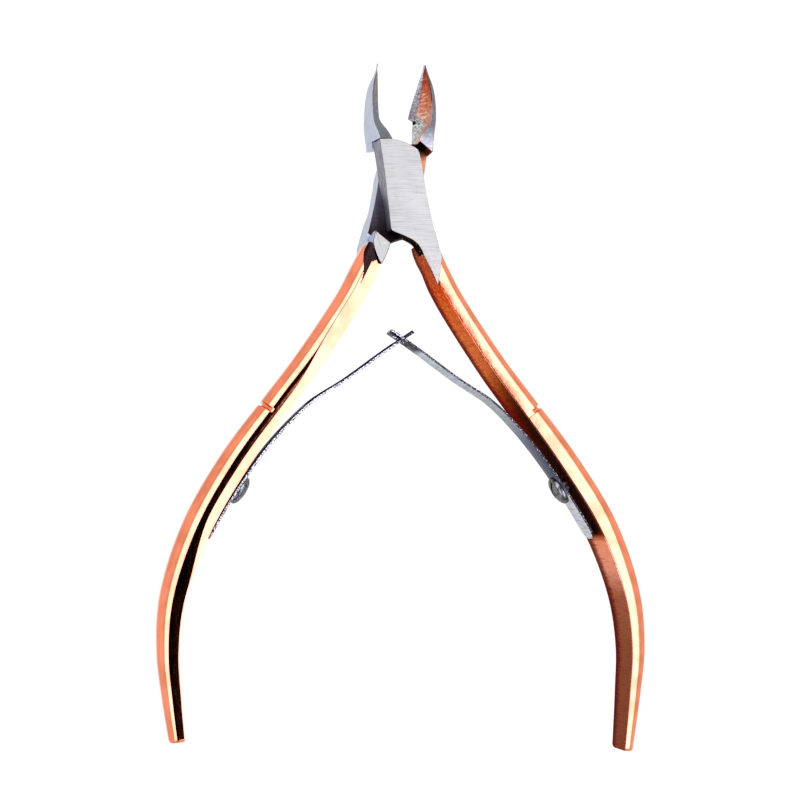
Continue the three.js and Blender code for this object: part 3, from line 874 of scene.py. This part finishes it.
def forging(name, side_name):
    """One whole half. Its handle and its jaw are on opposite sides of the rivet."""
    handle_side = 1 if side_name == "front" else -1
    return combine(name, handle(side_name), [
        ("UNION", neck(side_name)), ("UNION", lap(side_name)), ("UNION", jaw_root(-handle_side)),
        ("UNION", jaw(-handle_side)), ("DIFFERENCE", rivet_hole()),
    ])


front = forging("front_half_forging", "front")
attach(front, "front_half")
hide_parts("front_half")

rear = forging("rear_half_forging", "rear")
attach(rear, "rear_half")
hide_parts("rear_half")

# ---------------------------------------------------------------- rivet and screws


def lathe(name, profile, segments, material):
    """A closed turned solid about Z from (radius, z) points in mm; the first and last radii are small."""
    angles = np.arange(segments) / segments * 2 * math.pi
    rings = [np.column_stack([r * np.cos(angles), r * np.sin(angles), np.full(segments, z)])
             for r, z in profile]
    return solid(name, rings, lambda ring, segment: 0, [0, 0], [material])


def rivet():
    """The pin, ground flush with both faces."""
    steel = ground_steel("rivet_ground", (0.25, 8.0, 8.0), STEEL, STEEL_DARK, 0.008)
    ease = RIVET_EASE
    profile = [(RIVET_RADIUS - ease, 0), (RIVET_RADIUS, ease), (RIVET_RADIUS, DEPTH - ease),
               (RIVET_RADIUS - ease, DEPTH)]
    pin = lathe("pin", profile, RIVET_SEGMENTS, steel)
    return combine("pivot_rivet_flush", pin, [])


def leaf_path(side):
    """Rows of a leaf's path, bent outwards near its screw to follow its handle."""
    rows = np.array(LEAF, float)
    rows[:, 0] += LEAF_FRONT_SHIFT if side > 0 else LEAF_REAR_SHIFT
    return rows


def screw(name, side):
    """Slotted dome head seated on the leaf, with its shank in the handle."""
    nickel = bpy.data.materials.get("screw_turned") or turned_nickel()
    seat = LEAF_THICKNESS / 2
    rim, ease, dome_steps = 0.3, 0.08, 9
    profile = [(0.4, -2.6), (1.1, -2.4), (1.1, seat), (HEAD_RADIUS - ease, seat),
               (HEAD_RADIUS, seat + ease), (HEAD_RADIUS, seat + rim)]
    for i in range(1, dome_steps):
        angle = i / dome_steps * math.pi / 2
        height = seat + rim + (HEAD_HEIGHT - rim) * math.sin(angle)
        profile.append((HEAD_RADIUS * math.cos(angle), height))
    body = lathe("body", profile, 56, nickel)
    w, l = SLOT_WIDTH / 2, HEAD_RADIUS + 0.7
    corners = np.array([(-w, -l), (w, -l), (w, l), (-w, l)])
    rings = [np.column_stack([corners, np.full(4, z)]) for z in (seat + HEAD_HEIGHT - SLOT_DEPTH, seat + l)]
    slot = solid("slot", rings, lambda ring, segment: 0, [0, 0], [nickel])
    piece = combine(name, body, [("DIFFERENCE", slot)], 35)
    path = leaf_path(side)
    (x, y), outward = station(path, solve(path, 1, SCREW_Y))
    axis = Vector((-outward[0] * side, -outward[1], 0))
    turn = axis.to_track_quat("Z", "Y").to_matrix().to_4x4()
    seat_at = Matrix.Translation((side * x * MM, y * MM, MID * MM))
    piece.data.transform(seat_at @ turn @ Matrix.Rotation(math.radians(side * SLOT_TURN), 4, "Z"))
    return piece


pin = rivet()
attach(pin, "rear_half")
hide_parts("pivot_rivet")

for side, word, body in ((1, "right", "front_half"), (-1, "left", "rear_half")):
    piece = screw(f"{word}_screw_slotted", side)
    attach(piece, body)
    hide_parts(f"{word}_spring_screw")

# ---------------------------------------------------------------- leaf springs

leaf_length = sum(np.linalg.norm(spline(LEAF, (i + 1) / 200)[:2] - spline(LEAF, i / 200)[:2])
                  for i in range(200))
crossing_t = solve(LEAF, 0, 0.0)


FACE, EDGE, BACK = range(3)        # materials of a leaf
LEAF_STATIONS = 320
TORN_EDGE = 0.012                  # spread of the sheared edges
TONGUE_NECK = 0.35                 # length over which a leaf narrows to its tongue
TIP_RADIUS, FOOT_RADIUS = 0.5, 1.6 # plan rounding of a leaf's ends
DARK_BACK_Y = -33.0                # the left leaf's back shows dark above this


def leaf_width(t, tongue):
    """Size of the leaf along Z, with a narrow tongue or a round-cornered tip, and round foot corners."""
    width = LEAF_WIDTH_TIP + (LEAF_WIDTH_FOOT - LEAF_WIDTH_TIP) * smoothstep(crossing_t, 0.8, t)
    from_tip, from_foot = t * leaf_length, (1 - t) * leaf_length
    if tongue and from_tip < TONGUE_LENGTH + TONGUE_NECK:
        head = TONGUE_WIDTH + 0.35 * smoothstep(1.5, 0.9, from_tip)
        width = head + (width - head) * smoothstep(TONGUE_LENGTH, TONGUE_LENGTH + TONGUE_NECK, from_tip)
    for left, radius in ((from_tip, TIP_RADIUS), (from_foot, FOOT_RADIUS)):
        if left < radius:
            width -= 2 * (radius - math.sqrt(max(radius**2 - (radius - left)**2, 0)))
    return width


def leaf(name, side, tongue, materials):
    """A sheared strip of spring steel with a tongue, or with a window for the other leaf's tongue."""
    path = leaf_path(side)
    rings = []
    ease = 0.04
    wander = np.random.default_rng(7 + int(tongue))
    torn = wander.normal(0, TORN_EDGE, (LEAF_STATIONS + 1, 2))
    for i in range(LEAF_STATIONS + 1):
        t = 0.001 + 0.998 * i / LEAF_STATIONS
        (x, y), outward = station(path, t)
        half, thick = leaf_width(t, tongue) / 2, LEAF_THICKNESS / 2
        low, high = -half + torn[i, 0], half + torn[i, 1]
        inner, outer = (ROLLED_OVER, ease) if side > 0 else (ease, ROLLED_OVER)
        section = [(-thick, low + ease), (-thick, high - 2 * inner), (-thick + inner, high),
                   (thick - outer, high), (thick, high - 2 * outer), (thick, low + ease),
                   (thick - ease, low), (-thick + ease, low)]
        rings.append([(x + a * outward[0], y + a * outward[1], MID + b) for a, b in section])

    def zone(ring, segment):
        if side < 0 and segment in (3, 4) and rings[ring][0][1] < DARK_BACK_Y:
            return EDGE
        return {0: FACE, 1: FACE, 3: BACK, 4: BACK}.get(segment, EDGE)

    strip = solid("strip", to_side(rings, side), zone, [EDGE, EDGE], materials)
    steps = []
    if not tongue:
        (x, y), outward = station(LEAF, crossing_t)
        along = np.array([-outward[1], outward[0]])
        corners = [np.array([x, y]) + a * along * WINDOW[0] / 2 + b * outward * 1.5
                   for a, b in ((-1, -1), (1, -1), (1, 1), (-1, 1))]
        box = [np.column_stack([corners, np.full(4, MID + z * WINDOW[1] / 2)]) for z in (-1, 1)]
        window = solid("window", box, lambda ring, segment: EDGE, [EDGE, EDGE], materials)
        steps.append(("DIFFERENCE", window))
    return combine(name, strip, steps, 35)


leaf_materials = [spring_face(), spring_edge(), spring_back()]
for side, word, fixed in ((1, "right", "front_half"), (-1, "left", "rear_half")):
    piece = leaf(f"{word}_leaf_strip", side, side < 0, leaf_materials)
    start, end = ((side * x * MM, y * MM, MID * MM) for x, y in (FLEX_FROM, FLEX_TO))
    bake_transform(piece)
    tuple(start)
    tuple(end)
    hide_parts(f"{word}_spring_foot", f"{word}_spring_arm")

# ---------------------------------------------------------------- studio


TABLE_TONE = 0.07                  # of the light that falls on the table, the part that it returns
TABLE_GLOW = 0.97
TABLE_GAP = 0.0002                 # metres under the tool


def floor():
    """A pale, softly backlit table under the tool."""
    mesh = bpy.data.meshes.new("floor")
    size = 3.0
    corners = [(-size, -size, 0), (size, -size, 0), (size, size, 0), (-size, size, 0)]
    mesh.from_pydata(corners, [], [(0, 1, 2, 3)])
    material = bpy.data.materials.new("pale_table")
    material.use_nodes = True
    shader = material.node_tree.nodes["Principled BSDF"]
    shader.inputs["Base Color"].default_value = (*[TABLE_TONE] * 3, 1)
    shader.inputs["Roughness"].default_value = 1.0
    shader.inputs["Specular IOR Level"].default_value = 0.0
    shader.inputs["Emission Color"].default_value = (1, 1, 1, 1)
    shader.inputs["Emission Strength"].default_value = TABLE_GLOW
    mesh.materials.append(material)
    table = bpy.data.objects.new("floor", mesh)
    bpy.context.scene.collection.objects.link(table)
    table.location.z = -TABLE_GAP


STRIP_LIGHT = 4.2                  # times the brightness of the white horizon
STRIP_TINT = (0.97, 0.97, 1.3, 1)
PANEL_LIGHT, GAP_LIGHT = 0.8, 0.02
# Tilts in degrees from straight up, to +X: where each light has faded in or out.
LEFT_STRIP = ((-67, -64), (-20, -17))
RIGHT_STRIP = ((10.8, 12), (38, 42))
PANEL = ((3, 5), (16, 19))
PANEL_FROM = (0.08, 0.11)          # y of the direction from which the panel is lit
STRIP_ENDS = (0.7, 0.95)           # and the strips fade out


def studio():
    """Two long soft strips overhead, left and right, with a dark gap between them and a white horizon."""
    world = bpy.data.worlds.new("studio")
    world.use_nodes = True
    tree = world.node_tree
    tree.nodes.clear()
    out = tree.nodes.new("ShaderNodeOutputWorld")
    light = tree.nodes.new("ShaderNodeBackground")
    tree.links.new(light.outputs[0], out.inputs[0])
    direction = tree.nodes.new("ShaderNodeTexCoord").outputs["Generated"]
    split = tree.nodes.new("ShaderNodeSeparateXYZ")
    tree.links.new(direction, split.inputs[0])
    x, y, z = split.outputs

    def math_node(operation, a, b=0.0):
        node = tree.nodes.new("ShaderNodeMath")
        node.operation = operation
        for socket, value in zip(node.inputs, (a, b)):
            if isinstance(value, bpy.types.NodeSocket):
                tree.links.new(value, socket)
            else:
                socket.default_value = value
        return node.outputs[0]

    def step(value, low, high, to_low=0.0, to_high=1.0):
        node = tree.nodes.new("ShaderNodeMapRange")
        node.interpolation_type = "SMOOTHSTEP"
        tree.links.new(value, node.inputs["Value"])
        for key, item in (("From Min", low), ("From Max", high), ("To Min", to_low), ("To Max", to_high)):
            node.inputs[key].default_value = item
        return node.outputs[0]

    tilt = math_node("DEGREES", math_node("ARCTAN2", x, z))

    def band(rise, fall):
        return math_node("MULTIPLY", step(tilt, *rise), step(tilt, *fall, 1, 0))

    strips = math_node("MULTIPLY", math_node("ADD", band(*LEFT_STRIP), band(*RIGHT_STRIP)),
                       step(math_node("ABSOLUTE", y), *STRIP_ENDS, 1, 0))
    horizon = math_node("ADD", step(tilt, *LEFT_STRIP[0], 1, 0), step(tilt, *RIGHT_STRIP[1]))
    panel = math_node("MULTIPLY", band(*PANEL), step(y, *PANEL_FROM, GAP_LIGHT, PANEL_LIGHT))
    plain = math_node("ADD", horizon, panel)
    tint = tree.nodes.new("ShaderNodeMix")
    tint.data_type = "RGBA"
    colours = [s for s in tint.inputs if s.type == "RGBA"]
    colours[0].default_value, colours[1].default_value = (1, 1, 1, 1), STRIP_TINT
    tree.links.new(strips, tint.inputs[0])
    tree.links.new([s for s in tint.outputs if s.type == "RGBA"][0], light.inputs["Color"])
    strength = math_node("ADD", math_node("MULTIPLY", strips, STRIP_LIGHT), plain)
    tree.links.new(strength, light.inputs["Strength"])
    bpy.context.scene.world = world


EYE = (-0.055, -0.0483, 0.340)
TARGET = (-0.00513, -0.03184, 0.0042)
LENS = 99.9
SHIFT_X = 0.04


def camera():
    """From the front, a little to the left of the tool."""
    data = bpy.data.cameras.new("camera")
    data.sensor_width = 36
    data.lens = LENS
    data.shift_x = SHIFT_X
    eye = bpy.data.objects.new("camera", data)
    bpy.context.scene.collection.objects.link(eye)
    eye.location = EYE
    forward = (Vector(TARGET) - Vector(EYE)).normalized()
    right = forward.cross(Vector((0, 1, 0))).normalized()
    up = right.cross(forward)
    eye.rotation_mode = "QUATERNION"
    eye.rotation_quaternion = Matrix((right, up, -forward)).transposed().to_quaternion()
    data.clip_start, data.clip_end = 0.01, 20
    bpy.context.scene.camera = eye


floor()
studio()
camera()
bpy.context.scene.view_settings.view_transform = "Standard"
